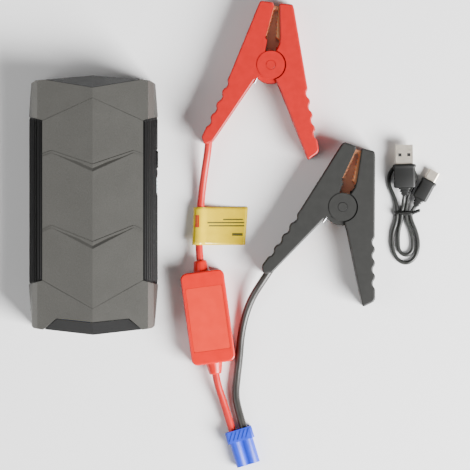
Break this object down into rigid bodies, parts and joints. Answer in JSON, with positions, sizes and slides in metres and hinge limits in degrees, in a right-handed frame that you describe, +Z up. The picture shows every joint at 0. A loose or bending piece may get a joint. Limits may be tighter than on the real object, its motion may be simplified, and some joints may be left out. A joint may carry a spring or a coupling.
{
  "type": "car jump starter pack",
  "caption": "Slab-shaped car jump starter with a faceted ridge, port flap and torch end, with clamp leads on an in-line module and a USB charging lead.",
  "frame": {"origin": "centre of the power unit's flat base, on the floor", "axes": "+Y towards the power unit's torch end, +X towards the clamp leads, +Z up off the floor"},
  "size_m": [0.2881, 0.3273, 0.037],
  "materials": {
    "case_plastic": "satin metallic paint",
    "panel_plastic": "satin metallic paint",
    "smoke_lens": "polished",
    "soft_black": "matt",
    "grip_rubber": "matt, ribbed",
    "steel": "zinc plated",
    "bright_plastic": "metallised",
    "board": "satin",
    "socket_blue": "satin",
    "brass": "bright",
    "port_steel": "bright",
    "chip_black": "satin",
    "light_guide": "clear",
    "cell_foil": "satin foil",
    "foam_grey": "open cell",
    "nickel": "bright",
    "red_plastic": "fine texture",
    "black_plastic": "fine texture",
    "copper": "copper plated",
    "spring_steel": "bright",
    "red_cable_skin": "silicone",
    "black_cable_skin": "silicone",
    "yellow_film": "film",
    "module_plastic": "satin",
    "label_plastic": "satin",
    "module_boot": "satin",
    "wire_black": "satin",
    "plug_plastic": "satin",
    "tongue_black": "satin",
    "tie_black": "satin"
  },
  "bodies": {
    "power_unit": {"bottom_cover": "case_plastic", "top_cover": "case_plastic", "chevron_panel": "panel_plastic", "torch_window": "smoke_lens", "side_grip_left": "grip_rubber", "side_grip_right": "grip_rubber", "case_screws": "steel", "torch_reflector": "bright_plastic", "torch_board": "board", "battery_socket": "socket_blue", "socket_pins": "brass", "usb_a_port": "port_steel", "usb_c_port": "port_steel", "main_board": "board", "board_screws": "steel", "board_parts": "chip_black", "side_board": "board", "button_switch": "chip_black", "charge_light_guide": "light_guide", "battery_cell_1": "cell_foil", "battery_cell_2": "cell_foil", "battery_cell_3": "cell_foil", "cell_foam": "foam_grey", "bus_negative": "nickel", "bus_positive": "nickel"},
    "port_cover": {"port_cover": "soft_black"},
    "power_button": {"power_button": "soft_black"},
    "lead_set": {"red_fixed_handle": "red_plastic", "red_fixed_jaw": "copper", "red_spring": "spring_steel", "red_pivot_pin": "red_plastic", "red_cable_lug": "copper", "black_fixed_handle": "black_plastic", "black_fixed_jaw": "copper", "black_spring": "spring_steel", "black_pivot_pin": "black_plastic", "black_cable_lug": "copper", "red_cable_clamp_side": "red_cable_skin", "red_cable_plug_side": "red_cable_skin", "black_cable": "black_cable_skin", "warning_tag": "yellow_film", "module_lower_shell": "module_plastic", "module_upper_shell": "module_plastic", "module_label": "label_plastic", "module_board": "board", "module_relay": "chip_black", "module_boots": "module_boot", "plug_housing": "socket_blue", "plug_contacts": "brass"},
    "red_lever": {"red_moving_handle": "red_plastic", "red_moving_jaw": "copper"},
    "black_lever": {"black_moving_handle": "black_plastic", "black_moving_jaw": "copper"},
    "charge_lead": {"charge_cable": "wire_black", "usb_a_grip": "plug_plastic", "usb_a_shell": "port_steel", "usb_c_grip": "plug_plastic", "usb_c_shell": "port_steel", "usb_tongues": "tongue_black", "cable_tie": "tie_black"}
  },
  "joints": [
    {"name": "port_cover_pull", "type": "slide", "parent": "power_unit", "child": "port_cover", "axis": [0, -1, 0], "range_m": [0, 0.03]},
    {"name": "power_button_press", "type": "slide", "parent": "power_unit", "child": "power_button", "axis": [-1, 0, 0], "range_m": [0, 0.0008], "stiffness_N_per_m": 400, "springref_m": -0.0004},
    {"name": "lead_lift", "type": "slide", "parent": "power_unit", "child": "lead_set", "axis": [0, 0, 1], "range_m": [0, 0.2]},
    {"name": "red_clamp_squeeze", "type": "hinge", "parent": "lead_set", "child": "red_lever", "pos_m": [0.1239, 0.0982, 0.01], "axis": [0, 0, -1], "range_deg": [0, 18], "stiffness_Nm_per_rad": 0.8, "springref_deg": -11.46},
    {"name": "black_clamp_squeeze", "type": "hinge", "parent": "lead_set", "child": "black_lever", "pos_m": [0.1741, -0.0012, 0.01], "axis": [0, 0, -1], "range_deg": [0, 18], "stiffness_Nm_per_rad": 0.8, "springref_deg": -11.46},
    {"name": "charge_lift", "type": "slide", "parent": "power_unit", "child": "charge_lead", "axis": [0, 0, 1], "range_m": [0, 0.2]}
  ]
}
